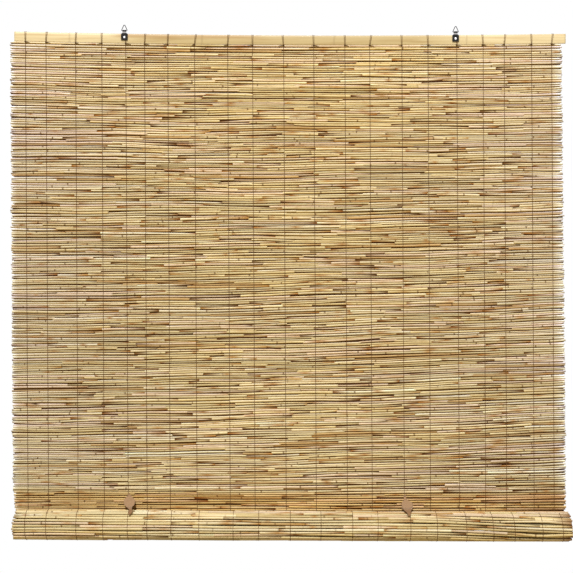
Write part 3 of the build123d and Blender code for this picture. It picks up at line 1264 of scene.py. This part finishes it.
# Ties
def tie_route(top_z):
    """Middle line of a tie in side view: down the mat, sagging forward on to the roll and over its top."""
    seat_radius = (roll_radius - turn_pitch / 2 + tie_seat) / math.cos(math.pi / loop_facets)
    back_y = mat_y - tie_seat
    sag_y = back_y - tie_sag_radius
    sag_z = roll_z + math.sqrt((seat_radius + tie_sag_radius) ** 2 - (sag_y - roll_y) ** 2)
    meet = math.atan2(sag_z - roll_z, sag_y - roll_y)
    front = math.pi / 2 + math.radians(tie_wrap_angle)
    route = [(back_y, z) for z in np.linspace(top_z, sag_z, tie_drop_steps)[:-1]]
    route += arc((sag_y, sag_z), tie_sag_radius, np.linspace(0, meet - math.pi, tie_bend_steps))
    route += arc((roll_y, roll_z), seat_radius, np.linspace(meet, front, tie_bend_steps)[1:])
    return np.array(route)


def make_tie(side, material):
    node = "roll_tie_" + side
    low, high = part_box(node)
    x = (low.x + high.x) / 2
    route = tie_route(high.z)
    tangent = unit(np.gradient(route, axis=0))
    outward = np.stack([tangent[:, 1], -tangent[:, 0]], axis=1)
    steps, travel = travelled(route)
    length_shares = travel / travel[-1]
    known_lengths, known_lefts, known_rights = zip(*tie_edge_shares[side])
    lefts = tie_half_width * np.interp(length_shares, known_lengths, known_lefts)
    rights = tie_half_width * np.interp(length_shares, known_lengths, known_rights)
    columns = np.linspace(-1, 1, tie_columns)
    points = []
    tints = []
    for row, ((y, z), (out_y, out_z), left, right) in enumerate(zip(route, outward, lefts, rights)):
        tint = tie_tone + (tie_tip_tone - tie_tone) * ease(length_shares[row], *tie_tip_shares)
        for layer, order in ((1, columns), (0, columns[::-1])):
            for column in order:
                across = left + (right - left) * (column + 1) / 2
                crease = crease_height * math.sin(row * 0.7 + column * 2.5) + curl_height * column ** 2
                lift = layer * tie_thickness * (1 - 0.5 * column ** 4) + crease
                points.append((x + across, y + out_y * lift, z + out_z * lift))
                tints.append(tint)
    gather = Gather()
    gather.add(points, tints, ring_faces(len(route), 2 * tie_columns))
    leaf = gather.piece("tie_leaf_" + side, material, "blind", "tie_cloth")
    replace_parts(leaf, node)


tie_material = cloth_material()
for side in ("left", "right"):
    make_tie(side, tie_material)

# Cane
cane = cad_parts["core_cane"]
cane.data.materials.clear()
cane.data.materials.append(cane_material())


# Stage
def add_stage():
    bpy.ops.mesh.primitive_grid_add(
        x_subdivisions=2, y_subdivisions=2, size=1, location=(0, floor_y, floor_z)
    )
    floor = bpy.context.object
    floor.name = "floor"
    floor.scale = (floor_width, floor_depth, 1)
    floor.visible_diffuse = False
    material, tree = new_material("floor")[:2]
    set_inputs(tree, tree.nodes["Principled BSDF"], {"Base Color": (0.9, 0.9, 0.9, 1), "Roughness": 0.9})
    floor.data.materials.append(material)


def add_sun(name, strength, spread, tilt, turn):
    sun = bpy.data.lights.new(name, "SUN")
    sun.energy = strength
    sun.angle = math.radians(spread)
    placed(name, sun).rotation_euler = (math.radians(tilt), 0, math.radians(turn))


def add_world():
    """Soft warm light, stronger from below, behind a ground that looks plain white."""
    world = bpy.data.worlds.new("studio")
    bpy.context.scene.world = world
    world.use_nodes = True
    tree = world.node_tree
    soft = tree.nodes["Background"]
    soft.inputs["Color"].default_value = (1.0, 0.87, 0.6, 1)
    facing = add_node(tree, "TexCoord", {}).outputs["Generated"]
    height = add_node(tree, "SeparateXYZ", {"Vector": facing}).outputs["Z"]
    level = stretched_to(tree, height, 0.5, 0.2, -0.4, 0.4)
    glow = stretched_to(tree, height, 0.8, 0.0, -0.95, -0.55)
    tree.links.new(combined(tree, "ADD", level, glow), soft.inputs["Strength"])
    plain = add_node(tree, "Background", {"Color": (1, 1, 1, 1), "Strength": 1.0})
    rays = add_node(tree, "LightPath", {})
    seen = rays.outputs["Is Camera Ray"]
    for ray in ("Is Glossy Ray", "Is Transmission Ray"):
        seen = combined(tree, "MAXIMUM", seen, rays.outputs[ray])
    mix = add_node(tree, "MixShader", {"Fac": seen, 1: soft.outputs[0], 2: plain.outputs[0]})
    tree.links.new(mix.outputs[0], tree.nodes["World Output"].inputs["Surface"])


def add_camera():
    camera = bpy.data.cameras.new("camera")
    camera.sensor_width = 36
    camera.lens = camera.sensor_width * camera_distance / view_width
    seen = placed("camera", camera)
    seen.location = (camera_x, mat_y - camera_distance, camera_z)
    seen.rotation_euler = (math.pi / 2, math.radians(camera_roll), 0)
    bpy.context.scene.camera = seen


add_stage()
add_sun("key", strength=3.6, spread=12, tilt=46, turn=-8)
add_sun("back", strength=2.4, spread=20, tilt=-45, turn=10)
add_world()
add_camera()
bpy.context.scene.view_settings.view_transform = "Standard"
